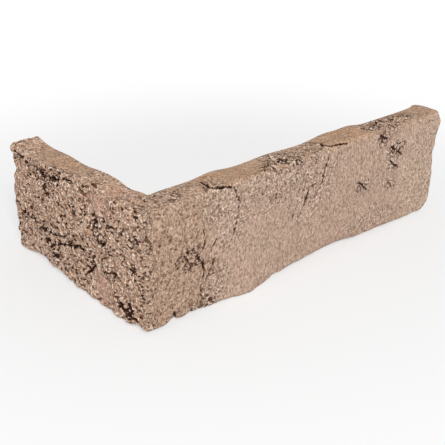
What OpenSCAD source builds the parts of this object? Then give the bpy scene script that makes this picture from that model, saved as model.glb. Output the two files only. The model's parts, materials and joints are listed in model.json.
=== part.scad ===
// Corner brick slip: an L-shaped facing piece of thin brick that turns an outside corner.
// It stands on its lower bed. X runs along the long leg, Y along the short leg, Z is up.
// Both outer faces are rough and worn, and both backs and the lower bed are cut flat.

/* [Size] */
// Length of the long leg, measured over its outer face
long_leg = 206; // [140:1:260]
// Length of the short leg, measured over its outer face
short_leg = 111; // [90:1:140]
// Height from the lower bed to the upper bed
height = 60; // [50:1:80]
// Thickness of both legs
thickness = 15; // [13:0.5:22]

/* [Edges] */
// Radius worn on the upright outer corner
corner_r = 4; // [2:0.5:7]
// Radius worn on the lower edge of the outer faces
lower_edge_r = 3; // [1.5:0.5:5]
// Radius worn on the upper edge of the outer faces
upper_edge_r = 2.5; // [1:0.5:5]
// Radius worn on the upright edge at each end
end_edge_r = 3; // [1:0.5:5]
// Radius worn on the lower corner at the end of the long leg
low_end_corner_r = 9; // [3:0.5:12]
// Radius worn on the other three corners of the ends
end_corner_r = 4.5; // [2:0.5:8]

/* [Wear] */
// How far the edges wander up and down, as a share of this slip's wear
wander = 1; // [0:0.1:1.2]
// How much the faces swell and sink, as a share of this slip's wear
swell = 1; // [0:0.1:1.2]
// Height of the lumps that the torn clay left, above and below the face
lump_height = 0.7; // [0:0.1:1]
// Distance from lump to lump
lump_pitch = 11; // [9:0.5:16]

/* [Fineness] */
// Distance between the sections that the outer faces are drawn through
section_pitch = 2.25; // [2:0.25:5]
// Number of steps up each outer face
face_steps = 20; // [10:1:22]
// Number of steps round each worn edge
edge_steps = 3; // [2:1:4]

/* [Hidden] */

// Leg lengths of the slip that the wear below was read from
seen_long = 206;
seen_short = 111;
// How far the rough blank runs past the cut backs and below the cut bed
spare = 1;
// Radius of the blank's inside bend, which the cut takes away
bend_r = 2;
// How far in from the outer face the lower bed is worn at most
bed_worn_in = 9;
// How far above the cut bed the lower edge starts, before its waves
bed_start = 0.7;
// Share of the low end corner's wear that reaches the back of the slip
wear_at_back = 0.6;
// How far in from each end the end's own waves reach
end_reach = 14;
// Number of sections round each end's edge, and round the outer corner
end_steps = 4;
corner_steps = 6;
// Half the length of path over which the sections fan round the corner
fan = thickness + spare + bend_r;

// Places on the path round the slip: 0 is the outer corner, the long leg counts up
// from there in millimetres, and the short leg counts down.
// Each wave is [middle, half width, height].
lower_edge_waves = [[-90, 9, 1.5], [-82, 7, 1], [-70, 10, 1.5], [-7, 4, 1.6], [-1, 3, 1],
    [3, 9, 1.1], [17, 3, 2.8], [28, 7, 1.3], [62, 9, -2.1], [80, 4, 1.4], [92, 8, 1.2],
    [118, 22, 2.9], [130, 8, 0.9], [160, 17, 1.3]];
upper_edge_waves = [[-112, 7, 1], [-92, 16, -2.2], [-64, 12, -1.8], [-28, 7, -1.4], [24, 9, 0.2],
    [50, 9, 1.3], [85, 12, 0.8], [126, 11, 1.8], [143, 8, 1.6], [206, 8, 1.7]];
// Each swelling is [middle on the path, height up the face, half width, half height, outward]
face_swellings = [[62, 6, 12, 12, 1.4], [118, 4, 26, 14, -1.4], [-92, 6, 12, 16, -1.0],
    [-6, 6, 6, 8, -0.8], [8, 34, 10, 26, 0.5], [150, 44, 22, 16, 0.5], [-38, 44, 5, 14, -1.2],
    [-40, 16, 6, 9, -1.2], [-88, 50, 20, 5, -0.7], [-84, 19, 22, 4, -0.8], [-60, 34, 24, 8, 0.6],
    [36, 28, 5, 16, -0.5], [98, 34, 6, 18, -0.5], [180, 24, 18, 18, 0.4]];
// Each end wave is [height up the end, half height, outward]
long_end_waves = [[53, 4.5, 3], [34, 6, -0.8], [18, 7, 1.2]];
short_end_waves = [[48, 8, -3], [30, 5, 0.5]];
// The lumps cover the short face, fade out along the long face and come back at its far end
lumps_fade = 34;
lumps_left = 0.2;
lumps_back_at = 150;
lumps_at_end = 0.4;
// How far the rows of lumps sway sideways and up, and over what length, so that they look torn
lump_sway = [3.4, 2.6];
lump_sway_length = [27, 37];
// Share of the lumps in crossing rows; the rest lies in rows that slant along this direction
crossing = 0.7;
slant = [0.8, -0.7];

function total(list, i = 0) = i < len(list) ? list[i] + total(list, i + 1) : 0;
function clip(t) = min(1, max(0, t));
function bell(d, w) = exp(-d * d / (w * w));
// Place on the path of the slip that was read, for a place on this one
function seen(s) = s > 0 ? s * seen_long / long_leg : s * seen_short / short_leg;
function waves(list, s) = total([for (w = list) w[2] * bell(s - w[0], w[1])]);
// Share of the lumps at a place on the path
function torn(s) = lumps_left + (1 - lumps_left) * clip(1 - s / lumps_fade)
    + lumps_at_end * clip((s - lumps_back_at) / lumps_fade);
// Lumps in crossing rows, with slanting rows between, all swaying; about -1 to 1
function lumps(s, z) =
    let (a = s + lump_sway[0] * sin(360 * z / lump_sway_length[0]),
        b = z + lump_sway[1] * sin(360 * s / lump_sway_length[1]), turn = 360 / lump_pitch)
    crossing * sin(turn * a) * sin(turn * b) + (1 - crossing) * sin(turn * (slant[0] * a + slant[1] * b));
function swelling(s, z) = lump_height * torn(seen(s)) * lumps(seen(s), z)
    + swell * total([for (w = face_swellings)
        w[4] * bell(seen(s) - w[0], w[2]) * bell(z - w[1], w[3])]);
// How far a round edge of radius r has drawn back at distance d from the end
function drawn_back(d, r) = let (k = min(max(d, 0), r)) r - sqrt(max(0, r * r - (r - k) * (r - k)));
// Height of the lower and upper edges along the path
function lower_edge(s) = bed_start + wander * waves(lower_edge_waves, seen(s))
    + drawn_back(long_leg - s, low_end_corner_r) + drawn_back(s + short_leg, end_corner_r);
function upper_edge(s) = height + wander * waves(upper_edge_waves, seen(s))
    - drawn_back(long_leg - s, end_corner_r) - drawn_back(s + short_leg, end_corner_r);
// How far the end edges have drawn the faces back
function end_inset(s) = drawn_back(long_leg - s, end_edge_r) + drawn_back(s + short_leg, end_edge_r);

// Way the outer face looks: 0 degrees on the short leg, 90 on the long leg
function facing(s) = 90 * clip((s + corner_r) / (2 * corner_r));
function outer_point(s) = [
    s < -corner_r ? 0 : s > corner_r ? s : corner_r * (1 - cos(facing(s))),
    s < -corner_r ? -s : s > corner_r ? 0 : corner_r * (1 - sin(facing(s)))];
function inner_turn(s) = 90 * clip((s + fan) / (2 * fan));
function inner_point(s) = [
    s < -fan ? thickness + spare : s > fan ? s : fan - bend_r * cos(inner_turn(s)),
    s < -fan ? -s : s > fan ? thickness + spare : fan - bend_r * sin(inner_turn(s))];
// How far the end waves push a point along its leg
function end_push(s, z) = s > 0
    ? waves(long_end_waves, z) * clip(1 - (long_leg - s) / end_reach)
    : waves(short_end_waves, z) * clip(1 - (short_leg + s) / end_reach);

// Point at depth d behind the outer face, height z, standing out by the face's swelling
function place(s, d, z, out) =
    let (o = outer_point(s), i = inner_point(s), e = (i - o) / norm(i - o), a = facing(s),
        push = end_push(s, z) * swell)
    [o[0] + e[0] * d - cos(a) * out + (s > fan ? push : 0),
     o[1] + e[1] * d - sin(a) * out + (s < -fan ? push : 0), z];

// One closed section of the rough blank, from the back of the bed round to the back of the top
function section(s) =
    let (w = norm(inner_point(s) - outer_point(s)), inset = end_inset(s),
        lo = lower_edge(s), hi = upper_edge(s), rl = lower_edge_r, ru = upper_edge_r,
        end_lift = wear_at_back * drawn_back(long_leg - s, low_end_corner_r) - spare)
    [place(s, w, end_lift, 0),
     place(s, bed_worn_in, end_lift, 0),
     for (k = [0 : edge_steps]) let (a = 90 * k / edge_steps, z = lo + rl * (1 - cos(a)))
        place(s, inset + rl * (1 - sin(a)), z, swelling(s, z)),
     for (k = [1 : face_steps - 1])
        let (z = lo + rl + (hi - ru - lo - rl) * k / face_steps)
        place(s, inset, z, swelling(s, z)),
     for (k = [0 : edge_steps]) let (a = 90 * k / edge_steps, z = hi - ru * (1 - sin(a)))
        place(s, inset + ru * (1 - cos(a)), z, swelling(s, z)),
     place(s, w / 2, hi, 0),
     place(s, w, hi, 0)];

// Places of the sections along the path: close together round the ends and the corner
end_stops = [for (k = [0 : end_steps]) end_corner_r * (1 - cos(90 * k / end_steps))];
run_long = long_leg - end_corner_r - corner_r;
run_short = short_leg - end_corner_r - corner_r;
steps_long = ceil(run_long / section_pitch);
steps_short = ceil(run_short / section_pitch);
stops = [for (e = end_stops) -short_leg + e,
    for (k = [1 : steps_short]) -short_leg + end_corner_r + run_short * k / steps_short,
    for (k = [1 : corner_steps - 1]) corner_r * (2 * k / corner_steps - 1),
    for (k = [0 : steps_long - 1]) corner_r + run_long * k / steps_long,
    for (k = [end_steps : -1 : 0]) long_leg - end_stops[k]];
rings = [for (s = stops) section(s)];
around = len(rings[0]);
last = len(rings) - 1;
// Middle of each end, where its flat triangles meet
function middle_of(ring) = [for (k = [0 : 2]) total([for (p = ring) p[k]]) / len(ring)];
blank_points = [for (r = rings) each r, middle_of(rings[0]), middle_of(rings[last])];
first_hub = around * (last + 1);
blank_faces = [
    for (i = [0 : last - 1], j = [0 : around - 1])
        let (a = i * around + j, b = i * around + (j + 1) % around)
        each [[a, b, b + around], [a, b + around, a + around]],
    for (j = [0 : around - 1]) [first_hub, (j + 1) % around, j],
    for (j = [0 : around - 1]) [first_hub + 1, last * around + j, last * around + (j + 1) % around]];

// Middle of the slip's plan outline, which the slip is set over
function middle_along(k) = let (places = [for (p = blank_points) p[k]]) (min(places) + max(places)) / 2;

// Rough blank before its backs and lower bed are cut flat
module blank() {
    polyhedron(points = blank_points, faces = blank_faces, convexity = 6);
}

// Everything that the cuts leave: two legs at right angles, open outward past the blank
module kept_by_the_cuts() {
    past = 12;
    linear_extrude(height = height + past)
        polygon([[-past, -past], [long_leg + past, -past], [long_leg + past, thickness],
            [thickness, thickness], [thickness, short_leg + past], [-past, short_leg + past]]);
}

module corner_slip() {
    color("#c3a189") translate([-middle_along(0), -middle_along(1), 0]) intersection() {
        blank();
        kept_by_the_cuts();
    }
}

corner_slip();
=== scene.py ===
# %% [markdown]
# # Corner brick slip
# The real thing is one L-shaped facing of thin fired clay. It turns an outside corner of a
# wall. Its two outer faces are torn and sandy, its beds are smoother, and its backs are cut.
# This lesson makes it as one surface: a section is carried along the path round the corner,
# and numpy pushes every point of that surface in or out to make the relief.

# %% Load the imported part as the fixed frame
import json

import bpy
import numpy as np
from mathutils import Matrix


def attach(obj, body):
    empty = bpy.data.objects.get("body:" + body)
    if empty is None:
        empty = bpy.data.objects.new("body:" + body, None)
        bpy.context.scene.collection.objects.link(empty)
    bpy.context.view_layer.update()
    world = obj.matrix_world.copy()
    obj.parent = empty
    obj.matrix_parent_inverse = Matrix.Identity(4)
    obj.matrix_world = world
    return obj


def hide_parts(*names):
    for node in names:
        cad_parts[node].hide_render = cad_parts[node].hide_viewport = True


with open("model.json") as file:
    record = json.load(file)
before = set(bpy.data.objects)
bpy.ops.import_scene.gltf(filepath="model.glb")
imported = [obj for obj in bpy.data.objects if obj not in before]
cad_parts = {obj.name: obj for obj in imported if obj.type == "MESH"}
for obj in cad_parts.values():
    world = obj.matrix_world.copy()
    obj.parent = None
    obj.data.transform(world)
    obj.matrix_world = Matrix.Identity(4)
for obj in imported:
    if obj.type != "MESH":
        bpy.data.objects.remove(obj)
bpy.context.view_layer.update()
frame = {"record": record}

# %% [markdown]
# ## Sizes
# The driving sizes are those of the part itself, in millimetres. Places on the slip are told
# in two numbers. `s` is the way along the path round the outside: 0 at the outer corner,
# positive on the long leg, negative on the short leg. `v` is the way up the skin: 0 at the
# lower bed's edge, then up the face, then on over the upper bed towards the back.

# %% Driving sizes in millimetres
# One millimetre in metres, which Blender counts in
MM = 0.001
LONG_LEG = 206.0
SHORT_LEG = 111.0
HEIGHT = 60.0
THICKNESS = 15.0
# Radii worn on the upright corner, on the edges and on the corners of the ends
CORNER_R = 4.0
LOWER_EDGE_R = 3.0
UPPER_EDGE_R = 2.5
END_EDGE_R = 3.0
LOW_END_CORNER_R = 9.0
END_CORNER_R = 4.5
# How far in the lower bed is worn, how high its edge starts, and the clay that the cuts took off
BED_WORN_IN = 9.0
BED_START = 0.7
SPARE = 1.0
# How far in the waves of the ends reach, and half the length over which the sections fan
END_REACH = 14.0
INNER_BEND = 2.0
FAN = THICKNESS + SPARE + INNER_BEND
print("path length", LONG_LEG + SHORT_LEG, "mm")

# %% [markdown]
# ## Wear of this slip
# No two such slips are alike. The waves of its edges, the swellings of its faces and the lumps
# of its torn clay are short tables, the same ones that the part's own source has.

# %% Waves, swellings and lumps
# Worn edges: each wave is (middle along the path, half width, height)
LOWER_EDGE_WAVES = [(-90, 9, 1.5), (-82, 7, 1.0), (-70, 10, 1.5), (-7, 4, 1.6), (-1, 3, 1.0),
                    (3, 9, 1.1), (17, 3, 2.8), (28, 7, 1.3), (62, 9, -2.1), (80, 4, 1.4), (92, 8, 1.2),
                    (118, 22, 2.9), (130, 8, 0.9), (160, 17, 1.3)]
UPPER_EDGE_WAVES = [(-112, 7, 1.0), (-92, 16, -2.2), (-64, 12, -1.8), (-28, 7, -1.4),
                    (24, 9, 0.2), (50, 9, 1.3), (85, 12, 0.8), (126, 11, 1.8), (143, 8, 1.6),
                    (206, 8, 1.7)]
# Swellings of the faces: (along the path, height, half width, half height, outward)
FACE_SWELLINGS = [(62, 6, 12, 12, 1.4), (118, 4, 26, 14, -1.4), (-92, 6, 12, 16, -1.0),
                  (-6, 6, 6, 8, -0.8), (8, 34, 10, 26, 0.5), (150, 44, 22, 16, 0.5),
                  (-38, 44, 5, 14, -1.2), (-40, 16, 6, 9, -1.2), (-88, 50, 20, 5, -0.7),
                  (-84, 19, 22, 4, -0.8), (-60, 34, 24, 8, 0.6), (36, 28, 5, 16, -0.5),
                  (98, 34, 6, 18, -0.5), (180, 24, 18, 18, 0.4)]
# Waves of the two ends: (height, half height, outward)
LONG_END_WAVES = [(53, 4.5, 3.0), (34, 6, -0.8), (18, 7, 1.2)]
SHORT_END_WAVES = [(48, 8, -3.0), (30, 5, 0.5)]
# Lumps of the torn clay: height, pitch, where they fade and come back, and how their rows sway
LUMP_HEIGHT, LUMP_PITCH = 0.7, 11.0
LUMPS_FADE, LUMPS_LEFT, LUMPS_BACK_AT, LUMPS_AT_END = 34.0, 0.2, 150.0, 0.4
LUMP_SWAY, LUMP_SWAY_LENGTH = (3.4, 2.6), (27.0, 37.0)
CROSSING, SLANT = 0.7, (0.8, -0.7)
print("waves", len(LOWER_EDGE_WAVES) + len(UPPER_EDGE_WAVES), "swellings", len(FACE_SWELLINGS))

# %% [markdown]
# ## Where the slip stands
# The sizes above count from the outer corner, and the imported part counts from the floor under
# its own middle. The two cut backs, read from the frame, tell how far one is from the other.

# %% From the outer corner to the part's origin
mounts = {m["name"]: np.array(m["pos_m"]) / MM for m in frame["record"]["mounts"]}
short_back, long_back = mounts["back_of_short_leg"], mounts["back_of_long_leg"]
ORIGIN = np.array([THICKNESS - short_back[0], THICKNESS - long_back[1], 0])
print("the outer corner stands at", (-ORIGIN).round(2), "mm")

# %% [markdown]
# ## Small shaping functions
# Every wave is a bell curve, and every soft border is a smooth step. They take whole arrays.

# %% Bells, steps and waves
def bell(distance, width):
    """1 at no distance, falling to 1/e at the width: exp(-(distance / width) squared)."""
    return np.exp(-(distance / width) ** 2)


def step(low, high, value):
    """0 below low, 1 above high, and 3t^2 - 2t^3 between."""
    t = np.clip((value - low) / (high - low), 0, 1)
    return t * t * (3 - 2 * t)


def waves(table, place):
    """Sum of bells: height times the bell of the distance from each wave's middle."""
    return sum(height * bell(place - middle, width) for middle, width, height in table)


def drawn_back(distance, radius):
    """How far a round edge has drawn back at a distance from the end: r - sqrt(r^2 - (r-d)^2)."""
    k = np.clip(distance, 0, radius)
    return radius - np.sqrt(np.maximum(0, radius ** 2 - (radius - k) ** 2))


print("a round end of 3 mm has drawn back", drawn_back(np.arange(4), 3.0).round(2), "at 0, 1, 2 and 3 mm")

# %% [markdown]
# ## Noise
# Torn clay has bumps of every size. Gradient noise gives soft random bumps of one size, and
# adding it to itself at halved sizes gives a natural surface. Folding it at zero gives sharp
# valleys between round crowns. The noise is worked out here rather than by a texture, because
# the relief is real geometry and has to come out the same each time.

# %% Gradient noise from hashed whole numbers
def scatter(ix, iy, iz, seed):
    """A fixed random-looking number from 0 to 1 for each whole-number place: mixed bits of its index."""
    h = (ix.astype(np.uint32) * np.uint32(374761393) + iy.astype(np.uint32) * np.uint32(668265263)
         + iz.astype(np.uint32) * np.uint32(2246822519) + np.uint32((seed * 3266489917) % 2 ** 32))
    h = (h ^ (h >> np.uint32(15))) * np.uint32(2246822519)
    h = (h ^ (h >> np.uint32(13))) * np.uint32(3266489917)
    return ((h ^ (h >> np.uint32(16))) & np.uint32(0xFFFFFF)).astype(np.float64) / 0xFFFFFF


def noise(points, size, seed):
    """Gradient noise: at each corner of the cell, gradient . offset, faded between, and all of it
    times 1.6, so that it runs from about -1 to 1."""
    p = points / size
    base = np.floor(p)
    f = p - base
    fade = f ** 3 * (f * (f * 6 - 15) + 10)
    i = base.astype(np.int64)
    total = 0
    for dx in (0, 1):
        for dy in (0, 1):
            for dz in (0, 1):
                cell = (i[..., 0] + dx, i[..., 1] + dy, i[..., 2] + dz)
                gx, gy, gz = (scatter(*cell, seed + 7 * k) * 2 - 1 for k in range(3))
                dot = gx * (f[..., 0] - dx) + gy * (f[..., 1] - dy) + gz * (f[..., 2] - dz)
                wx, wy, wz = (fade[..., k] if d else 1 - fade[..., k] for k, d in enumerate((dx, dy, dz)))
                total = total + dot * wx * wy * wz
    return total * 1.6


def layered(points, size, seed, layers=3, fall=0.5):
    """Sum of noises, each half the size of the last and `fall` times as strong."""
    return sum(noise(points, size / 2 ** k, seed + 31 * k) * fall ** k for k in range(layers))


def ridged(points, size, seed, layers=3, fall=0.55):
    """Sharp valleys: 2 |noise| - 1, summed as in layered(). Valleys are low, crowns are round."""
    return sum((2 * np.abs(noise(points, size / 2 ** k, seed + 31 * k)) - 1) * fall ** k
               for k in range(layers))


print("noise at four places", noise(np.linspace(0, 5, 12).reshape(4, 3), 1.0, 1).round(2))

# %% [markdown]
# ## The plain shape
# A section is a closed loop of points: in along the lower bed, round the worn lower edge, up
# the face, round the upper edge, back over the upper bed and down the cut back. The loop is
# worked out at nearly 600 places along the path, which fans round the corner, so the whole
# slip is one array of rings by rows. A subdivided box would have to be bent round the corner,
# and its edges would not keep the waves of the part.

# %% Places of the rings and rows
# Distance from ring to ring along the path, in millimetres
GRID = 0.55


def ring_places():
    """Even steps along the path, with rings exactly on both ends and on both sides of the inner corner."""
    ends = [-SHORT_LEG, -THICKNESS, THICKNESS, LONG_LEG]
    parts = [np.linspace(a, b, int(round((b - a) / GRID)) + 1) for a, b in zip(ends, ends[1:])]
    return np.unique(np.round(np.concatenate(parts), 6))


S = ring_places()
BED_ROWS, EDGE_ROWS, FACE_ROWS, TOP_ROWS, BACK_ROWS = 9, 6, 100, 21, 5
print("rings", len(S))


def path_points(s):
    """Outer point, inner point and facing angle: straight legs, with a quarter circle at the corner."""
    angle = np.pi / 2 * np.clip((s + CORNER_R) / (2 * CORNER_R), 0, 1)
    ox = np.where(s < -CORNER_R, 0, np.where(s > CORNER_R, s, CORNER_R * (1 - np.cos(angle))))
    oy = np.where(s < -CORNER_R, -s, np.where(s > CORNER_R, 0, CORNER_R * (1 - np.sin(angle))))
    ix = np.where(s < THICKNESS, THICKNESS, s)
    iy = np.where(s > -THICKNESS, THICKNESS, -s)
    return np.stack([ox, oy], -1), np.stack([ix, iy], -1), angle


def lower_edge(s):
    """Height of the lower edge: its start, its waves, and the round corners of the ends."""
    return (BED_START + waves(LOWER_EDGE_WAVES, s) + drawn_back(LONG_LEG - s, LOW_END_CORNER_R)
            + drawn_back(s + SHORT_LEG, END_CORNER_R))


def upper_edge(s):
    """Height of the upper edge: the full height, its waves, less the round corners of the ends."""
    return (HEIGHT + waves(UPPER_EDGE_WAVES, s) - drawn_back(LONG_LEG - s, END_CORNER_R)
            - drawn_back(s + SHORT_LEG, END_CORNER_R))


def torn_share(s):
    """Share of the lumps: all on the short face, fading along the long face, some at its far end."""
    return (LUMPS_LEFT + (1 - LUMPS_LEFT) * np.clip(1 - s / LUMPS_FADE, 0, 1)
            + LUMPS_AT_END * np.clip((s - LUMPS_BACK_AT) / LUMPS_FADE, 0, 1))


def lumps(s, z):
    """Sine rows that cross, plus slanting rows, all of them swaying: about -1 to 1."""
    a = s + LUMP_SWAY[0] * np.sin(2 * np.pi * z / LUMP_SWAY_LENGTH[0])
    b = z + LUMP_SWAY[1] * np.sin(2 * np.pi * s / LUMP_SWAY_LENGTH[1])
    turn = 2 * np.pi / LUMP_PITCH
    slanting = np.sin(turn * (SLANT[0] * a + SLANT[1] * b))
    return CROSSING * np.sin(turn * a) * np.sin(turn * b) + (1 - CROSSING) * slanting


def swelling(s, z):
    """Outward swelling of the faces: the lumps, plus the sum of height times two bells."""
    return (LUMP_HEIGHT * torn_share(s) * lumps(s, z)
            + sum(out * bell(s - a, w) * bell(z - b, h) for a, b, w, h, out in FACE_SWELLINGS))


# %% [markdown]
# The depth behind the face and the height of every row come next. Beside the position the
# function returns where each point is on the skin, which the relief and the colours use.

# %% Rows of the section
# Share of the low end corner's wear that reaches the back, and how the bed's rows crowd there
WEAR_AT_BACK = 0.6
BED_CROWDING = 1.5
# How far past the inner corner the upper bed's back edge takes to find its own height
LEVEL_INSIDE = 6.0


def section_rows(width, inset, low, high, high_inside, lift):
    """Depth, height and swelling of every row, as arrays of rings by rows. Straight rows run evenly,
    and the rows round an edge of radius r stand at r (1 - sin) in and r (1 - cos) up."""
    made = []
    bed_edge = inset + LOWER_EDGE_R
    for t in np.linspace(0, 1, BED_ROWS, endpoint=False):
        depth = width + (bed_edge - width) * (1 - (1 - t) ** BED_CROWDING)
        rise = (BED_WORN_IN - depth) / (BED_WORN_IN - bed_edge)
        z = np.where(depth < BED_WORN_IN, lift + (low - lift) * rise, lift)
        made.append((depth, np.maximum(0, z), 0 * S))
    for t in np.linspace(0, np.pi / 2, EDGE_ROWS, endpoint=False):
        z = low + LOWER_EDGE_R * (1 - np.cos(t))
        made.append((inset + LOWER_EDGE_R * (1 - np.sin(t)), np.maximum(0, z), swelling(S, z)))
    for t in np.linspace(0, 1, FACE_ROWS, endpoint=False):
        z = low + LOWER_EDGE_R + (high - UPPER_EDGE_R - low - LOWER_EDGE_R) * t
        made.append((inset, np.maximum(0, z), swelling(S, z)))
    for t in np.linspace(0, np.pi / 2, EDGE_ROWS, endpoint=False):
        z = high - UPPER_EDGE_R * (1 - np.sin(t))
        made.append((inset + UPPER_EDGE_R * (1 - np.cos(t)), z, swelling(S, z)))
    top_edge = inset + UPPER_EDGE_R
    for t in np.linspace(0, 1, TOP_ROWS):
        made.append((top_edge + (width - top_edge) * t, high + (high_inside - high) * step(0, 1, t), 0 * S))
    floor = np.maximum(0, lift)
    for t in np.linspace(0, 1, BACK_ROWS + 2)[1:-1]:
        made.append((width, high_inside + (floor - high_inside) * t, 0 * S))
    return [np.stack(column, 1) for column in zip(*made)]


# %% The plain shape as arrays
def plain_shape():
    """Positions (rings, rows, 3), skin places s and v, and how far each point is from the cut back:
    outer point + inward * depth, less the way the face looks * swelling, plus the waves of the ends."""
    outer, inner, angle = path_points(S)
    width = np.linalg.norm(inner - outer, axis=-1)
    inward = (inner - outer) / width[:, None]
    inset = drawn_back(LONG_LEG - S, END_EDGE_R) + drawn_back(S + SHORT_LEG, END_EDGE_R)
    low, high = lower_edge(S), upper_edge(S)
    lift = WEAR_AT_BACK * drawn_back(LONG_LEG - S, LOW_END_CORNER_R) - SPARE
    pivot = np.mean(upper_edge(np.array([-THICKNESS, THICKNESS])))
    high_inside = pivot + (high - pivot) * step(THICKNESS, THICKNESS + LEVEL_INSIDE, np.abs(S))
    depth, z, out = section_rows(width, inset, low, high, high_inside, lift)
    xy = outer[:, None] + inward[:, None] * depth[..., None]
    xy = xy - np.stack([np.cos(angle), np.sin(angle)], -1)[:, None] * out[..., None]
    s = np.repeat(S[:, None], depth.shape[1], 1)
    push_long = waves(LONG_END_WAVES, z) * np.clip(1 - (LONG_LEG - s) / END_REACH, 0, 1)
    push_short = waves(SHORT_END_WAVES, z) * np.clip(1 - (SHORT_LEG + s) / END_REACH, 0, 1)
    xy[..., 0] += np.where(s > FAN, push_long, 0)
    xy[..., 1] += np.where(s < -FAN, push_short, 0)
    v = np.where(np.arange(depth.shape[1]) < BED_ROWS + EDGE_ROWS, z - depth, z + depth)
    return np.concatenate([xy, z[..., None]], -1), s, v, width[:, None] - depth


plain, skin_s, skin_v, from_back = plain_shape()
FIRST_TOP = BED_ROWS + 2 * EDGE_ROWS + FACE_ROWS
LAST_TOP = FIRST_TOP + TOP_ROWS - 1
print("plain shape", plain.shape, "from", plain.min((0, 1)).round(1), "to", plain.max((0, 1)).round(1))

# %% [markdown]
# ## Normals
# The relief moves each point along its own normal, which is the cross product of the steps
# to its neighbours along the path and along the loop.

# %% Normals of the grid
def grid_normals(points):
    """Unit normals: cross product of the steps along the path and round the loop; they look outward."""
    along = np.gradient(points, axis=0)
    loop = np.roll(points, -1, axis=1) - np.roll(points, 1, axis=1)
    normal = np.cross(along, loop)
    return normal / np.maximum(np.linalg.norm(normal, axis=-1, keepdims=True), 1e-9)


normals = grid_normals(plain)
print("the short face looks to", normals[40, 60].round(2), "and the long one to", normals[-60, 60].round(2))

# %% [markdown]
# ## Zones of the skin
# The slip isn't evenly rough. The short leg's face is torn all over. The long leg's face is
# sandy near the corner, smooth and faintly rippled in the middle and pitted in patches on the
# right. Each zone is a soft patch with a ragged border.

# %% Patches
def patch(s, v, wobble, middle_s, middle_v, half_s, half_v, soft=0.45):
    """1 inside an ellipse, 0 outside, with a soft border that noise makes ragged."""
    away = np.sqrt(((s - middle_s) / half_s) ** 2 + ((v - middle_v) / half_v) ** 2)
    return 1 - step(1 - soft, 1 + soft, away + 0.35 * wobble)


def patches(s, v, wobble, table):
    """The strongest of several patches, each with its own weight: (s, v, half s, half v, weight)."""
    out = np.zeros_like(s)
    for a, b, w, h, weight in table:
        out = np.maximum(out, weight * patch(s, v, wobble, a, b, w, h))
    return out


# Places that are torn, smooth, given painted shade, pink or orange: each is (s, v, half s, half v, weight)
ROUGH_PATCHES = [(1, 30, 6, 60, 0.8), (14, 30, 20, 60, 0.4), (26, 31, 8, 7, 1.0), (40, 53, 10, 12, 0.4),
                 (50, 45, 10, 14, 0.35), (78, 53, 22, 11, 0.4), (89, 66, 13, 9, 1.0),
                 (104, 45, 14, 18, 0.35), (155, 57, 6, 4, 0.8), (168, 47, 7, 5, 0.9), (166, 39, 6, 4, 0.6),
                 (142, 33, 6, 4, 0.6), (165, 28, 5, 3, 0.6), (166, 68, 17, 9, 1.0), (194, 33, 16, 40, 0.25),
                 (152, 10, 22, 8, 0.25), (40, 12, 9, 14, 0.5), (20, 68, 14, 8, 0.6), (108, 66, 8, 8, 0.5),
                 (42, 64, 5, 8, 0.6), (34, 4, 9, 6, 0.9)]
SMOOTH_ON_SHORT = [(-31, 12, 9, 7, 0.75), (-33, 55, 11, 5, 0.7), (-80, 68, 30, 9, 0.9),
                   (-30, 70, 22, 8, 0.6)]
# Places given more painted crevice shade
PAINTED_SHADE_PLACES = [(26, 31, 8, 6, 0.6), (34, 4, 8, 5, 0.5), (38, 22, 6, 6, 0.3), (89, 65, 13, 6, 0.45),
               (166, 67, 15, 7, 0.5), (156, 57, 5, 4, 0.5), (168, 47, 6, 5, 0.6), (166, 39, 6, 4, 0.4),
               (142, 33, 5, 3, 0.4), (165, 28, 4, 3, 0.3), (102, 52, 5, 7, 0.4), (40, 60, 7, 4, 0.4)]
PINK_PLACES = [(-31, 12, 11, 8, 0.9), (-33, 54, 13, 7, 0.8), (-24, 66, 10, 5, 0.5)]
ORANGE_PLACES = [(-22, 66, 12, 6, 0.9), (-72, 66, 12, 7, 0.6), (-96, 68, 8, 5, 0.6), (56, 68, 20, 8, 0.5),
                 (88, 64, 12, 6, 0.6), (134, 68, 16, 8, 0.5), (170, 68, 14, 7, 0.7), (188, 62, 10, 8, 0.4)]

# %% Where the skin is torn
rows = np.arange(plain.shape[1])
on_cut_back = np.where(rows > LAST_TOP, 1.0, 0.0) * np.ones_like(skin_s)
above_bed = 0.15 + 0.85 * step(-6, 0, skin_v)
wobble = layered(plain, 9, 11, 3)
on_short = 1 - step(-4, 3, skin_s)
rough_long = patches(skin_s, skin_v, wobble, ROUGH_PATCHES)
rough_short = 1 - patches(skin_s, skin_v, wobble, SMOOTH_ON_SHORT)
roughness = np.clip(0.1 + on_short * rough_short + (1 - on_short) * rough_long, 0, 1)
roughness = roughness * above_bed * (1 - 0.9 * on_cut_back)
print("share of rough skin", roughness.mean().round(2))

# %% [markdown]
# ## Creases
# Deep creases and slits are short crooked lines. The distance from every point to a line is
# bent by noise, so that the crease wanders, and a valley with a low lip is cut along it. Drawn
# lines would stay flat under a low lamp, and real valleys shade themselves.

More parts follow.
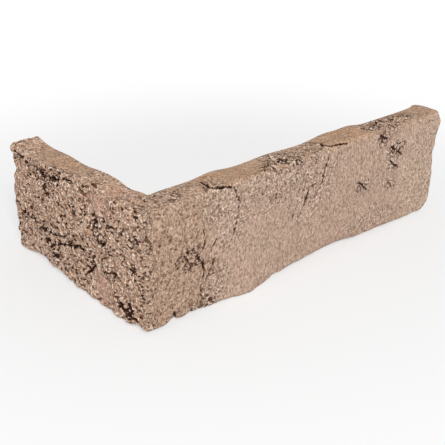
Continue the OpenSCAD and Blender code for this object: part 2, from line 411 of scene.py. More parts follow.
# %% Lines cut into the skin
# Each crease: (half width, depth, raggedness, points along it as (s, v)). They come in this order:
# the two cracks on the upper bed, the long face roughly from left to right, the short face.
CREASES = [
    (0.7, 2.0, 0.1, [(41, 71), (40.2, 65.5), (41, 63)]),
    (0.75, 2.4, 0.1, [(41, 63), (43, 61.7), (45.6, 60.4)]),
    (0.55, 1.3, 0.2, [(45.6, 60.4), (47.5, 59.7), (50, 58.6)]),
    (0.75, 2.4, 0.1, [(114, 74), (115.8, 71), (115.9, 66.8), (117, 63.5)]),
    (0.65, 1.6, 0.1, [(117, 63.5), (121, 62.6), (124, 61.8)]),
    (0.6, 1.1, 0.1, [(124, 61.8), (126, 61.2), (127.5, 60.5)]),
    (0.5, 0.8, 0.6, [(34.6, 43), (35.2, 37.8)]),
    (0.7, 1.8, 0.5, [(35.2, 37.8), (34.3, 32.6)]),
    (0.65, 1.8, 0.5, [(33.5, 27), (34.5, 22), (34.1, 18)]),
    (0.5, 0.9, 0.8, [(34.1, 18), (32.7, 13.2), (33.5, 5.5), (34, 2)]),
    (0.5, 0.9, 0.6, [(41.1, 27.9), (38.2, 20.1), (35.9, 17)]),
    (0.5, 0.9, 0.5, [(41.8, 35.6), (39.9, 32.9), (38.5, 31)]),
    (0.45, 0.9, 0.9, [(51, 58.5), (52.5, 56.8), (55.1, 50.1)]),
    (0.45, 0.8, 1.0, [(55.1, 50.1), (54.7, 43.7)]),
    (0.5, 1.0, 0.8, [(54.7, 43.7), (53, 38.2), (51.3, 32.1)]),
    (0.4, 0.5, 0.5, [(51.3, 32.1), (46, 27.5)]),
    (0.5, 0.8, 0.5, [(79, 50), (78, 43)]),
    (0.6, 1.5, 0.5, [(113.7, 57), (112.7, 52.8), (111.6, 49.4)]),
    (0.6, 1.4, 0.5, [(111.6, 49.4), (110.1, 43)]),
    (0.6, 1.1, 0.6, [(105.8, 45), (103.6, 43.2)]),
    (0.65, 1.6, 0.5, [(100.9, 43), (99.8, 37.5)]),
    (0.5, 0.9, 0.7, [(99.8, 37.5), (96.8, 32.1), (93.6, 27.7)]),
    (0.55, 1.2, 0.5, [(91.1, 33.6), (90.4, 29.8)]),
    (0.4, 0.8, 0.6, [(122.5, 58), (119.2, 53.5)]),
    (0.4, 0.55, 1.0, [(119.2, 53.5), (114, 47), (107.7, 38.1)]),
    (0.4, 0.5, 1.0, [(107.7, 38.1), (103.7, 34.4), (97.5, 31)]),
    (0.45, 0.9, 0.7, [(102.5, 60.2), (105.2, 57.2)]),
    (0.6, 1.5, 0.5, [(152.4, 59.2), (158.3, 55.2)]),
    (0.5, 1.3, 0.7, [(162.3, 50.7), (168, 47), (173.9, 43)]),
    (0.5, 1.0, 0.6, [(170, 50), (166, 45.5)]),
    (0.6, 1.5, 0.5, [(161.7, 42.8), (171.9, 35.8)]),
    (0.55, 1.5, 0.5, [(139, 36), (145.8, 30.2)]),
    (0.5, 1.1, 0.5, [(163, 31), (167.4, 25.7)]),
    (0.65, 1.5, 0.5, [(16.7, 7.5), (17.6, 4), (18, 0)]),
    (0.9, 2.2, 1.0, [(-44.6, 59), (-42.2, 55.5)]),
    (0.85, 2.4, 0.8, [(-34.4, 47.2), (-36.7, 42.6), (-38, 40)]),
    (0.8, 2.0, 1.0, [(-36.5, 38), (-33.4, 35.4), (-29.2, 34.4)]),
    (0.8, 2.4, 0.8, [(-38.4, 25.4), (-41, 18.2), (-44.3, 13.8)]),
    (0.75, 1.9, 0.9, [(-85, 52.8), (-80.4, 52.1), (-73, 52.6), (-62.7, 55.3)]),
    (0.6, 1.5, 1.0, [(-62.7, 55.3), (-52, 58.7)]),
    (0.9, 1.8, 1.0, [(-81, 46), (-76, 44)]),
    (0.75, 1.9, 0.9, [(-86, 20.6), (-79.9, 21.9), (-73.1, 23), (-63.4, 25.3)]),
    (0.7, 1.7, 1.0, [(-70.4, 18.6), (-62.3, 21.4), (-54.9, 23.9), (-46, 26.1)]),
    (0.9, 1.8, 1.2, [(-80, 17), (-75.6, 13.1), (-73, 10)]),
    (0.8, 1.7, 1.0, [(-103.4, 54.8), (-97.2, 55), (-92.3, 53.8)]),
    (0.8, 1.7, 1.0, [(-103.5, 24.6), (-96.3, 23.9), (-89.2, 23)]),
    (0.8, 2.2, 1.3, [(-18.5, 10.3), (-13.1, 8.1), (-7, 6.8)]),
    (0.8, 1.8, 1.0, [(-13, 13), (-9, 9)]),
    (0.9, 1.9, 1.0, [(-8.8, 32.3), (-4.8, 30.6)]),
    (0.9, 2.0, 1.0, [(-5.6, 49.5), (-2.2, 45.3)]),
    (0.7, 1.4, 1.0, [(-29.4, 47.5), (-22, 46.3)]),
    (0.7, 1.5, 1.0, [(-26.2, 22.2), (-18, 23.9)]),
]
print("creases", len(CREASES))

# %% Valleys along the lines
# How far the painted shade at the margin of a ragged crease reaches, in millimetres
MARGIN_REACH = 2.2


def creases(points, s, v, table):
    """Depth of the creases: for each line, depth times a smooth step of (distance / half width), a low
    lip outside it, and for the ragged lines a margin of painted shade: the bell of (distance / its reach)."""
    bend_s = layered(points, 4.5, 401, 3, 0.75) * 0.9
    bend_v = layered(points, 4.5, 402, 3, 0.75) * 0.9
    uneven = noise(points, 2.2, 403)
    cut = np.zeros_like(s)
    lip = np.zeros_like(s)
    shade_margin = np.zeros_like(s)
    for half, depth, ragged, line in table:
        grain = np.clip(1 - 0.3 * ragged + 1.5 * ragged * uneven, 0.1, 1.3)
        nearest = np.full(s.shape, 99.0)
        for (a, b), (c, d) in zip(line, line[1:]):
            ps, pv = s + ragged * bend_s - a, v + ragged * bend_v - b
            t = np.clip((ps * (c - a) + pv * (d - b)) / ((c - a) ** 2 + (d - b) ** 2), 0, 1)
            taper = 0.55 + 0.45 * np.sin(np.pi * np.clip(t, 0.02, 0.98)) if len(line) == 2 else 1.0
            nearest = np.minimum(nearest, np.hypot(ps - t * (c - a), pv - t * (d - b)) / (half * taper))
        cut = np.maximum(cut, depth * grain * (1 - step(0.2, 1.6, nearest)))
        lip = np.maximum(lip, 0.12 * depth * bell(nearest - 2.0, 0.9))
        shade_margin = np.maximum(shade_margin, ragged * bell(nearest * half, MARGIN_REACH))
    return cut, lip, shade_margin


# %% [markdown]
# ## Relief
# Heights of every kind are added up: broad swells, the torn ledges and grain of the rough
# zones, pits, pinholes and the soft upright ripples left where wet clay slid in its mould.

# %% Heights of the relief
# Heights, depths and sizes in millimetres, and how high anything may stand proud of the skin
BROAD_HEIGHT, BROAD_SIZE = 0.15, 16
LEDGE_HEIGHT, LEDGE_SIZE, LEDGE_STEPS = 0.6, 6.5, 2.4
PIT_DEPTH, PIT_SIZE = 1.3, 2.5
PINHOLE_DEPTH, PINHOLE_SIZE = 0.8, 1.6
CROWD_SIZE, GRAIN_SIZE = 8.0, 1.2
RIPPLE_HEIGHT, RIPPLE_PITCH = 0.2, 3.4
PROUD = 1.1


def terrace(values):
    """Turn slopes into ledges: the whole part of the value, plus a smooth step over its fraction."""
    base = np.floor(values)
    return base + step(0.3, 0.7, values - base)


def relief(points, s, v, rough):
    """Outward height: swells + ledges + grain + ripples - pits - pinholes, each from noise on the plain
    shape, and above zero eased towards PROUD by PROUD * tanh(height / PROUD)."""
    bent = points + 0.8 * np.stack([noise(points, 3.0, 21 + k) for k in range(3)], -1)
    broad = BROAD_HEIGHT * layered(points, BROAD_SIZE, 1, 2)
    torn = layered(bent, LEDGE_SIZE, 2, 4, 0.62)
    ledges = LEDGE_HEIGHT * (0.4 * torn + 0.6 * terrace(torn * LEDGE_STEPS) / LEDGE_STEPS)
    crowd = 0.65 * noise(points, CROWD_SIZE, 62)
    pits = PIT_DEPTH * step(0.15, 0.7, noise(bent, PIT_SIZE, 61) + crowd)
    pinholes = PINHOLE_DEPTH * step(0.15, 0.7, noise(bent, PINHOLE_SIZE, 63) + 0.6 * crowd)
    grain = noise(points, GRAIN_SIZE, 51)
    calm = np.clip(1.2 - 2.0 * rough, 0, 1) * step(-2, 8, s)
    wander = s + 2.6 * noise(points, 9, 71) + 0.9 * noise(points, 4, 72) + 0.12 * v
    ripples = RIPPLE_HEIGHT * np.sin(2 * np.pi * wander / RIPPLE_PITCH)
    ripples = ripples * calm * (0.7 + 0.9 * noise(points, 12, 73))
    height = (broad + (0.12 + rough) * ledges - rough * (pits + pinholes) + (0.07 + 0.2 * rough) * grain
              + ripples)
    return np.where(height > 0, PROUD * np.tanh(height / PROUD), height)


height = relief(plain, skin_s, skin_v, roughness)
cut, lip, shade_margin = creases(plain, skin_s, skin_v, CREASES)
print("deepest cut", cut.max().round(2), "mm")

# %% [markdown]
# The edges are chipped: bites of noise are taken out of both worn edges. The relief fades to
# nothing on the flat lower bed and at the cut back, which stay where the part has them. At the
# end of the long leg the upper bed's back corner is broken off round.

# %% Chipped edges
CHIP_SIZE, EDGE_REACH = 5.5, 2.6
low_line = lower_edge(skin_s)
high_line = upper_edge(skin_s)
near_low = bell(skin_v - low_line + 1, EDGE_REACH)
near_high = bell(skin_v - high_line - 0.5, EDGE_REACH)
bites = np.clip(layered(plain, CHIP_SIZE, 81, 2) + 0.05, 0, 2) * (0.4 + 0.3 * roughness)
height = height * (1 - 0.7 * near_low - 0.5 * near_high)
height = height - bites * (0.7 * near_low + 0.4 * near_high) - cut + lip
print("deepest bite", bites.max().round(2), "mm")

# %% The skin moved along its normals
# Radius of the broken corner, how far along the leg it runs, and from and to what height it grows
FAR_TOP_R, FAR_TOP_RUN = 5.0, 9.0
FAR_TOP_FROM, FAR_TOP_TO = 30, 50
from_end = np.minimum(LONG_LEG - skin_s, skin_s + SHORT_LEG)
fade = np.where(rows < BED_ROWS, step(-7, -2, skin_v), 1.0) * (0.15 + 0.85 * step(0, 6, from_end))
fade = fade * np.where(rows > LAST_TOP, 0.0, np.where(rows >= FIRST_TOP, step(0, 2.5, from_back), 1.0))
height = np.where(rows < BED_ROWS, np.minimum(height, 0), height) * fade
moved = plain + normals * height[..., None]
near_far_top = step(LONG_LEG - FAR_TOP_RUN, LONG_LEG, skin_s) * step(FAR_TOP_FROM, FAR_TOP_TO, moved[..., 2])
moved[..., 0] -= drawn_back(from_back, FAR_TOP_R) * near_far_top
moved[..., 2] = np.maximum(moved[..., 2], 0)
print("relief from", height.min().round(2), "to", height.max().round(2), "mm")

# %% [markdown]
# ## The mesh
# Rings and rows make a sheet of quads, each cut into two triangles. At the inner corner all
# the rings of the fan share one upright line, so their points are made the same point there.
# Each end is closed by rings that shrink to its middle, with their own roughness.

# %% Ends as shrinking rings
CAP_RINGS = 13


def end_cap(loop, outward, seed):
    """Rings that shrink from the end's outline to its middle; noise pushes them along the leg."""
    middle = loop.mean(0)
    rings = []
    for k in range(1, CAP_RINGS):
        share = 1 - (k / CAP_RINGS) ** 1.15
        ring = middle + (loop - middle) * share
        ease = min(1.0, 0.25 * k)
        push = 0.5 * layered(ring, 6, seed, 3) + 0.35 * ridged(ring, 3, seed + 3, 2)
        rings.append(ring + np.asarray(outward) * (push * ease)[:, None])
    return rings, middle


start_cap, start_middle = end_cap(moved[0], (0, 1, 0), 901)
stop_cap, stop_middle = end_cap(moved[-1], (1, 0, 0), 951)
body = np.array(start_cap[::-1] + list(moved) + stop_cap)
ring_count, row_count = body.shape[:2]
print("rings with both ends", ring_count, "rows", row_count)

# %% Triangles, with the inner corner welded
fan_rings = np.where(np.abs(S) <= THICKNESS + 1e-6)[0] + len(start_cap)
shared_rows = np.where((rows >= LAST_TOP) | (rows == 0))[0]
upright = np.ix_(fan_rings, shared_rows, [2])
body[upright] = body[upright].mean(0)


def triangles():
    """Vertex numbers of all triangles: two for each quad, and a fan at the middle of each end."""
    index = np.arange(ring_count * row_count).reshape(ring_count, row_count)
    index[np.ix_(fan_rings, shared_rows)] = index[fan_rings[0], shared_rows]
    a, b = index[:-1], index[1:]
    a2, b2 = np.roll(a, -1, 1), np.roll(b, -1, 1)
    first_hub = ring_count * row_count
    begin, end = index[0], index[-1]
    faces = np.concatenate([
        np.stack([a, b2, a2], -1).reshape(-1, 3),
        np.stack([a, b, b2], -1).reshape(-1, 3),
        np.stack([np.full(row_count, first_hub), begin, np.roll(begin, -1)], -1),
        np.stack([np.full(row_count, first_hub + 1), np.roll(end, -1), end], -1)])
    whole = (faces[:, 0] != faces[:, 1]) & (faces[:, 1] != faces[:, 2]) & (faces[:, 0] != faces[:, 2])
    return faces[whole]


points = np.concatenate([body.reshape(-1, 3), [start_middle, stop_middle]])
faces = triangles()
print("triangles", len(faces))

# %% [markdown]
# ## What the colours follow
# Hollows are given painted shade, and crowns a painted highlight. The depth of each point
# below the blurred surface around it tells which is which. Other masks mark the orange-tan
# beds, the mauve far end and the sandy parts. All are stored on the vertices.

# %% Hollows from a blurred height
def blurred(values, reach):
    """Mean over a square of 2 * reach + 1 grid points, by running sums along both ways."""
    out = values
    for axis in (0, 1):
        pad = [(reach + 1, reach) if k == axis else (0, 0) for k in range(2)]
        run = np.cumsum(np.pad(out, pad, mode="edge"), axis=axis)
        ahead = np.take(run, np.arange(2 * reach + 1, run.shape[axis]), axis)
        behind = np.take(run, np.arange(0, run.shape[axis] - 2 * reach - 1), axis)
        out = (ahead - behind) / (2 * reach + 1)
    return out


# How far each point lies below what is 3 and 8 grid steps around it, over a usual depth of a hollow
narrow_hollows = (blurred(height, 3) - height) / 0.7
broad_hollows = (blurred(height, 8) - height) / 1.4
# Depth in a hollow: above zero it sets painted shade, below zero a painted highlight on the crowns
shaded_hollow = np.clip(0.8 * (0.6 * narrow_hollows + 0.5 * broad_hollows), -1, 1)
print("share of points in a hollow", (shaded_hollow > 0.1).mean().round(2))

# %% [markdown]
# The other masks are patches like the rough ones. The painted shade of cracks and furrows comes
# from the creases, so the painted shade of a crack always lies in its valley.

# %% Masks of the clay
on_top = step(HEIGHT - 2, HEIGHT + 2.5, skin_v)
tan = on_top * np.clip(1.05 - 0.6 * roughness + 0.3 * wobble, 0, 1)
mauve = np.clip(patch(skin_s, skin_v, wobble, -104, 30, 22, 42, 0.6) * (1 - on_top), 0, 1)
sand = patches(skin_s, skin_v, wobble, [(196, 32, 22, 44, 1.0)]) * (1 - on_top)
near_corner = patches(skin_s, skin_v, wobble, [(14, 30, 24, 50, 1.0)]) * (1 - on_top) * (1 - on_short)
pink = np.clip(patches(skin_s, skin_v, wobble, PINK_PLACES), 0, 1)
orange = np.clip(patches(skin_s, skin_v, wobble, ORANGE_PLACES), 0, 1)
# Painted shade in the valleys of the creases
crack_shade = np.clip(cut * fade, 0, 1)
# More painted crevice shade at the margins of ragged creases and at the shaded places
furrow_shade = np.maximum(shade_margin * np.clip(on_short + 0.25, 0, 1), patches(skin_s, skin_v, wobble, PAINTED_SHADE_PLACES))
furrow_shade = furrow_shade * (1 - on_cut_back)
# Each vertex colour holds three masks: (name, values, value on the ends)
STORED = {
    "zones": (("tan", tan, 0), ("mauve", mauve, 0), ("sand", sand, 0.5)),
    "wear": (("shaded_hollow", shaded_hollow * 0.5 + 0.5, 0.5), ("rough", roughness, 0.45), ("back", on_cut_back, 0)),
    "marks": (("crack_shade", crack_shade, 0), ("furrow_shade", furrow_shade, 0), ("orange", orange, 0)),
    "tints": (("short", on_short, 0), ("corner", near_corner, 0), ("pink", pink, 0))}
print("masks", [name for masks in STORED.values() for name, _, _ in masks])

# %% [markdown]
# ## The mesh object
# The arrays go into a Blender mesh in one call each. Smooth shading hides the triangles, and
# only the sharp edges of the cuts stay sharp.

# %% Put the arrays into a Blender mesh
# Edges that turn by more than this many degrees are shaded sharp
SHARP_FROM = 76


def on_vertices(field, cap_value):
    """One value for each vertex: the grid's own, then a plain value for the ends."""
    cap = np.full((CAP_RINGS - 1, row_count), cap_value)
    return np.concatenate([np.concatenate([cap, field, cap]).reshape(-1), [cap_value, cap_value]])


def build_slip():
    """Make the mesh object from the arrays and store the masks as vertex colours."""
    mesh = bpy.data.meshes.new("slip_skin")
    mesh.from_pydata((points - ORIGIN) * MM, [], faces)
    for layer_name, masks in STORED.items():
        layer = mesh.attributes.new(layer_name, "FLOAT_COLOR", "POINT")
        columns = [on_vertices(field, on_ends) for _, field, on_ends in masks] + [np.ones(len(points))]
        layer.data.foreach_set("color", np.stack(columns, -1).astype(np.float32).reshape(-1))
    mesh.polygons.foreach_set("use_smooth", np.ones(len(mesh.polygons), bool))
    mesh.set_sharp_from_angle(angle=np.radians(SHARP_FROM))
    mesh.validate()
    piece = bpy.data.objects.new("slip_skin", mesh)
    bpy.context.scene.collection.objects.link(piece)
    return piece


slip = build_slip()
print("vertices", len(slip.data.vertices), "in use", len(np.unique(faces)))
corners = points[faces]
volume = np.einsum("ij,ij->i", corners[:, 0], np.cross(corners[:, 1], corners[:, 2])).sum() / 6
print("volume enclosed", round(float(volume)), "cubic millimetres")

# %% [markdown]
# ## Shader maths
# A small class wraps a socket so that maths on it reads as plain Python. Numbers add Math
# nodes, colours go through Mix nodes, and one method makes every node.

# %% A socket that can be added and multiplied
class Sock:
    """The output of a node, with + - * and a smooth step written as Python. Each adds one node."""

    def __init__(self, nodes, socket):
        self.nodes = nodes
        self.socket = socket

    def _math(self, operation, first, second):
        """Add a Math node on two numbers or sockets."""
        return self.nodes.node("ShaderNodeMath", {"operation": operation}, {0: first, 1: second})

    def __add__(self, other):
        return self._math("ADD", self, other)

    def __radd__(self, other):
        return self._math("ADD", other, self)

    def __sub__(self, other):
        return self._math("SUBTRACT", self, other)

    def __rsub__(self, other):
        return self._math("SUBTRACT", other, self)

    def __mul__(self, other):
        return self._math("MULTIPLY", self, other)

    def __rmul__(self, other):
        return self._math("MULTIPLY", other, self)

    def above(self, low, high):
        """0 below low, 1 above high, with a smooth step between."""
        return self.nodes.node("ShaderNodeMapRange", {"interpolation_type": "SMOOTHSTEP"},
                               {"Value": self, "From Min": low, "From Max": high}, "Result")


# %% A node tree that one method adds to
class Nodes:
    """The node tree of a material or a sky: one method adds any node, and the others call it."""

    def __init__(self, owner):
        owner.use_nodes = True
        self.owner = owner
        self.tree = owner.node_tree

    def node(self, kind, settings, inputs, output=0):
        """Add a node: its type, its settings, the values or links of its sockets, the output wanted."""
        node = self.tree.nodes.new(kind)
        for name, value in settings.items():
            setattr(node, name, value)
        for name, value in inputs.items():
            self.feed(node.inputs[name], value)
        return Sock(self, node.outputs[output])

    def feed(self, slot, value):
        """Link a socket or set its value."""
        if isinstance(value, Sock):
            self.tree.links.new(value.socket, slot)
        else:
            slot.default_value = value

    def blend(self, share, first, second):
        """Mix two colours by a share from 0 to 1."""
        return self.node("ShaderNodeMix", {"data_type": "RGBA"}, {0: share, 6: first, 7: second}, 2)

    def channels(self, colour):
        """The red, green and blue parts of a colour."""
        split = self.node("ShaderNodeSeparateColor", {}, {"Color": colour})
        return [Sock(self, output) for output in split.socket.node.outputs]

    def grain(self, size, detail, rough, seed, squeeze=(1, 1, 1)):
        """Noise on Object coordinates, bumps about `size` millimetres across, or longer where squeezed."""
        place = self.node("ShaderNodeTexCoord", {}, {}, "Object")
        place = self.node("ShaderNodeMapping", {}, {"Vector": place, "Scale": squeeze})
        return self.node("ShaderNodeTexNoise", {"noise_dimensions": "4D"},
                         {"Vector": place, "W": seed, "Scale": 1 / (size * MM), "Detail": detail,
                          "Roughness": rough}, "Fac")


# %% A material with its shader
class Material(Nodes):
    """A new material and its Principled shader."""

    def __init__(self, name):
        super().__init__(bpy.data.materials.new(name))
        self.shader = self.tree.nodes["Principled BSDF"]

    def whiten(self, near, far, start):
        """For what the camera, gloss or glass sees, fade the surface to plain white: a share of `start`
        up to the near distance from the middle, in metres, and wholly white past the far one."""
        place = self.node("ShaderNodeTexCoord", {}, {}, "Object")
        away = self.node("ShaderNodeVectorMath", {"operation": "LENGTH"}, {0: place}, "Value")
        seen = sum(self.node("ShaderNodeLightPath", {}, {}, ray)
                   for ray in ("Is Camera Ray", "Is Glossy Ray", "Is Transmission Ray"))
        white = self.node("ShaderNodeEmission", {}, {"Color": (1, 1, 1, 1), "Strength": 1.0})
        lit = Sock(self, self.shader.outputs[0])
        share = start + (1 - start) * away.above(near, far)
        mixed = self.node("ShaderNodeMixShader", {}, {0: share * seen, 1: lit, 2: white})
        self.feed(self.tree.nodes["Material Output"].inputs["Surface"], mixed)


def rgb(red, green, blue):
    """Linear colour from screen values 0 to 255."""
    c = np.array([red, green, blue]) / 255
    linear = np.where(c <= 0.04045, c / 12.92, ((c + 0.055) / 1.055) ** 2.4)
    return (*linear.tolist(), 1.0)


# %% [markdown]
# ## Fired clay
# The clay is a warm pinkish beige. Its beds are orange-tan, the far end is mauve and the worn
# sandy parts are paler. Hollows, cracks and crevices are given a dark brown painted shade, crowns and grains
# a pale painted highlight, and fine grains speckle it all.
# A painted texture could show this too, but it would have to be stored as a picture. Here the
# stored masks and a few noises lay one colour over another, from broad zones to single grains.

# %% Colours and grains of the clay
# The colours for crowns and bright grains are painted highlights; those for crevices, hollows and cracks are
# painted shade
TONES = {
    "beige": rgb(186, 157, 140), "browner beige": rgb(180, 156, 137), "light cloud": rgb(190, 164, 142),
    "sand": rgb(198, 172, 152), "tan bed": rgb(196, 161, 131), "orange": rgb(202, 152, 112),
    "mauve": rgb(176, 142, 138), "torn face": rgb(214, 174, 146), "by the corner": rgb(178, 146, 121),
    "pink": rgb(204, 160, 140), "cut back": rgb(184, 152, 126), "crown highlight": rgb(226, 202, 178),
    "grain highlight": rgb(255, 232, 214), "crevice_shade": rgb(66, 36, 22), "streak": rgb(140, 108, 94),
    "dark dust": rgb(128, 94, 76), "pale dust": rgb(236, 208, 188), "shaded_hollow": rgb(78, 44, 26),
    "crack_shade": rgb(60, 31, 17)}
# Each grain: (size in millimetres, layers of detail, their roughness, its number, how it is squeezed)
GRAINS = {
    "broad": (14, 3, 0.55, 1.0), "cloud": (5, 3, 0.6, 2.0), "sandy": (0.95, 0, 0.5, 6.0),
    "strokes": (1.3, 1, 0.5, 3.0, (0.9, 0.5, 1.0)), "dust": (0.8, 0, 0.5, 4.0, (1, 1, 0.45)),
    "streak": (1.9, 2, 0.6, 5.0, (1, 1, 0.38))}
# Height of the bump that a whole step of the grains makes, in millimetres
BUMP_HEIGHT = 1.2
print("colours", len(TONES), "grains", len(GRAINS))

# %% Colours by zone
def zone_colours(mask, cloud):
    """The broad colours in the order they are laid on: (share from 0 to 1, colour)."""
    return [(cloud.above(0.45, 0.7) * 0.5, "light cloud"),
            (mask["sand"] * 0.8, "sand"),
            (mask["tan"] * 0.85, "tan bed"),
            (mask["orange"] * cloud.above(0.38, 0.62) * 0.7, "orange"),
            (mask["mauve"] * 0.5, "mauve"),
            (mask["short"] * mask["rough"] * 0.8, "torn face"),
            (mask["corner"] * 0.7, "by the corner"),
            (mask["pink"] * 0.7, "pink"),
            (mask["back"] * 0.9, "cut back")]


# %% Speckles, painted shade and painted highlights
def speckle_colours(mask, grain):
    """Painted highlights on crowns and grains, painted shade in crevices, streaks, dust, and painted shade
    in hollows and cracks, in the order they are laid on.
    """
    # Painted highlight on the parts of the relief that stand above their surroundings
    pale = (0.5 - mask["shaded_hollow"]).above(0.05, 0.4)
    # The tone falls, so the painted crevice shade grows, at the crease margins and shaded places
    tone = (grain["strokes"] * 0.58 + grain["cloud"] * 0.28 + grain["sandy"] * 0.14
            - mask["furrow_shade"] * 0.07)
    # Painted shade in the crevices between the grains of the bump
    crevice_shade = (1.0 - tone).above(0.56, 0.585) * (mask["rough"] * 0.95 + 0.05)
    # Painted highlight on the crowns of the grains that also raise the bump
    crown = ((grain["sandy"] * 0.6 + grain["strokes"] * 0.4).above(0.55, 0.6)
             * (mask["rough"] * 0.9 + 0.1) * (1.0 - mask["corner"] * 0.5))
    return [(pale * 0.35 * mask["rough"], "crown highlight"),
            (crown, "grain highlight"),
            (crevice_shade, "crevice_shade"),
            (grain["streak"].above(0.5, 0.68) * (1.0 - mask["rough"]) * 0.2, "streak"),
            (grain["dust"].above(0.57, 0.68) * 0.55, "dark dust"),
            ((1.0 - grain["dust"]).above(0.6, 0.7) * 0.35, "pale dust"),
            # Painted shade in the hollows of the relief
            ((mask["shaded_hollow"] - 0.5).above(0.06, 0.42) * 0.75, "shaded_hollow"),
            # Painted shade in the valleys of the creases
            (mask["crack_shade"].above(0.18, 0.7) * 0.92, "crack_shade")]


# %% The clay material
def clay():
    """Fired clay: colours laid over each other, a dull surface, and a bump of sand and strokes."""
    m = Material("fired_clay")
    mask = {}
    for layer_name, masks in STORED.items():
        layer = m.node("ShaderNodeAttribute", {"attribute_name": layer_name}, {}, "Color")
        mask.update(zip([name for name, _, _ in masks], m.channels(layer)))
    grain = {name: m.grain(*how) for name, how in GRAINS.items()}
    colour = m.blend(grain["broad"].above(0.35, 0.65), TONES["beige"], TONES["browner beige"])
    for share, name in zone_colours(mask, grain["cloud"]) + speckle_colours(mask, grain):
        colour = m.blend(share, colour, TONES[name])
    m.feed(m.shader.inputs["Base Color"], colour)
    m.feed(m.shader.inputs["Roughness"], 0.92 - 0.06 * mask["tan"])
    m.shader.inputs["Specular IOR Level"].default_value = 0.1
    smooth = 1.0 - mask["rough"]
    bumps = (grain["sandy"] * (mask["rough"] * 1.1 + 0.25) - grain["dust"] * 0.35
             + grain["streak"] * smooth * 0.5 + grain["strokes"] * (mask["rough"] * 2.0 + 0.1))
    normal = m.node("ShaderNodeBump", {}, {"Height": bumps, "Strength": 1.0, "Distance": BUMP_HEIGHT * MM},
                    "Normal")
    m.feed(m.shader.inputs["Normal"], normal)
    return m.owner


slip.data.materials.append(clay())
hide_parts("corner_slip")
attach(slip, "root")
print("the skin stands for its solid, with", len(slip.data.materials[0].node_tree.nodes), "nodes")

# %% [markdown]
# ## Floor, lights and camera
# The slip stands on a plain pale floor that runs up into a backdrop. One soft lamp, above and in
# front and a little to the right, lights the long face most, and a white sky fills the rest. The
# floor fades to white away from the slip, so it keeps the shadow and has no horizon.

# %% Where the camera stands
# Heading, pitch and roll in degrees, and the place in millimetres from the outer corner
CAMERA_AZIMUTH = 41.64
CAMERA_ELEVATION = 26.77
CAMERA_ROLL = 0.86
CAMERA_PLACE = (-167.58, -238.81, 204.35)
# Distance from the eye to the picture, and the picture's width, in the photograph's own pixels
FOCAL_PIXELS = 803.45
PHOTO_PIXELS = 445
# Width of the camera's sensor in millimetres
SENSOR_WIDTH = 36
print("the camera stands", round(float(np.linalg.norm(CAMERA_PLACE))), "mm from the outer corner")

# %% Floor and backdrop
def floor_and_backdrop():
    """A sheet carried along a profile, in metres: flat floor, a quarter circle, an upright wall behind."""
    near, far, bend, tall, half = -2.5, 1.6, 0.5, 1.6, 3.0
    turn = np.linspace(0, np.pi / 2, 16)
    depth = np.concatenate([[near], far - bend + bend * np.sin(turn), [far]])
    height = np.concatenate([[0], bend * (1 - np.cos(turn)), [tall]])
    along = np.array([-half, half])
    view = np.radians(CAMERA_AZIMUTH)
    ahead, aside = np.array([np.sin(view), np.cos(view)]), np.array([np.cos(view), -np.sin(view)])
    xy = depth[:, None, None] * ahead + along[None, :, None] * aside
    grid = np.concatenate([xy, np.broadcast_to(height[:, None, None], xy.shape[:2] + (1,))], -1)
    start = 2 * np.arange(len(depth) - 1)
    quads = np.stack([start, start + 1, start + 3, start + 2], -1)
    mesh = bpy.data.meshes.new("floor")
    mesh.from_pydata(grid.reshape(-1, 3), [], quads)
    mesh.polygons.foreach_set("use_smooth", np.ones(len(quads), bool))
    floor = bpy.data.objects.new("floor", mesh)
    bpy.context.scene.collection.objects.link(floor)
    m = Material("pale_floor")
    m.shader.inputs["Base Color"].default_value = (0.93, 0.93, 0.93, 1)
    m.shader.inputs["Roughness"].default_value = 0.9
    m.shader.inputs["Specular IOR Level"].default_value = 0.1
    m.whiten(near=0.1, far=0.3, start=0.55)
    mesh.materials.append(m.owner)
    return len(quads)


print("floor strips", floor_and_backdrop())

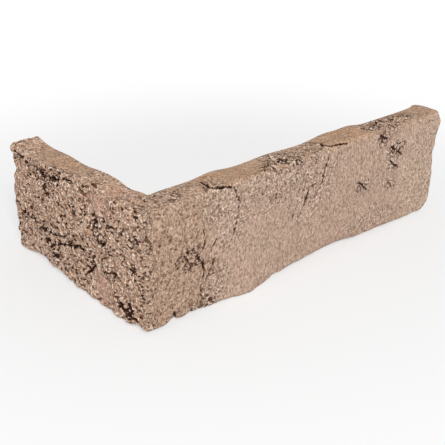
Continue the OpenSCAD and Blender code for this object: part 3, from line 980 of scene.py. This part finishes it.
# %% Lamps and sky
def lamp(name, place, target, size, watts):
    """A square area lamp at a place in metres, turned to a target."""
    data = bpy.data.lights.new(name, "AREA")
    data.size = size
    data.energy = watts
    lamp_object = bpy.data.objects.new(name, data)
    way = np.array(target) - np.array(place)
    ahead = way / np.linalg.norm(way)
    side = np.cross(ahead, (0, 0, 1))
    side = side / np.linalg.norm(side)
    above = np.cross(side, ahead)
    turn = Matrix(np.stack([side, above, -ahead], -1).tolist()).to_4x4()
    lamp_object.matrix_world = Matrix.Translation(place) @ turn
    bpy.context.scene.collection.objects.link(lamp_object)


# Places and sizes in metres
KEY_PLACE, KEY_TARGET = (-0.55, -0.9, 0.85), (0, 0, 0.03)
KEY_SIZE, KEY_WATTS = 0.3, 11.5
SKY_LIGHT = 0.4
lamp("key", KEY_PLACE, KEY_TARGET, KEY_SIZE, KEY_WATTS)


def sky():
    """White for the camera, softer for the light it gives."""
    world = bpy.data.worlds.new("sky")
    bpy.context.scene.world = world
    nodes = Nodes(world)
    seen = nodes.node("ShaderNodeLightPath", {}, {}, "Is Camera Ray")
    background = nodes.tree.nodes["Background"]
    background.inputs["Color"].default_value = (1, 1, 1, 1)
    nodes.feed(background.inputs["Strength"], SKY_LIGHT + seen * (1 - SKY_LIGHT))


sky()
print("key lamp of", KEY_WATTS, "watts, sky at", SKY_LIGHT)

# %% Camera at the photograph's viewing angle
def camera():
    """Place the camera: heading, pitch and roll give its axes, and the focal length gives the lens."""
    azimuth, elevation, roll = np.radians([CAMERA_AZIMUTH, CAMERA_ELEVATION, CAMERA_ROLL])
    ahead = np.array([np.sin(azimuth) * np.cos(elevation), np.cos(azimuth) * np.cos(elevation),
                      -np.sin(elevation)])
    side = np.array([np.cos(azimuth), -np.sin(azimuth), 0])
    above = np.cross(side, ahead)
    right = np.cos(roll) * side + np.sin(roll) * above
    up = np.cos(roll) * above - np.sin(roll) * side
    data = bpy.data.cameras.new("camera")
    data.sensor_width = SENSOR_WIDTH
    data.lens = FOCAL_PIXELS / PHOTO_PIXELS * data.sensor_width
    eye = bpy.data.objects.new("camera", data)
    place = (np.array(CAMERA_PLACE) - ORIGIN) * MM
    turn = Matrix(np.stack([right, up, -ahead], -1).tolist()).to_4x4()
    eye.matrix_world = Matrix.Translation(place) @ turn
    bpy.context.scene.collection.objects.link(eye)
    bpy.context.scene.camera = eye
    return data.lens


print("lens", round(camera(), 2), "mm")
bpy.context.scene.view_settings.view_transform = "Standard"
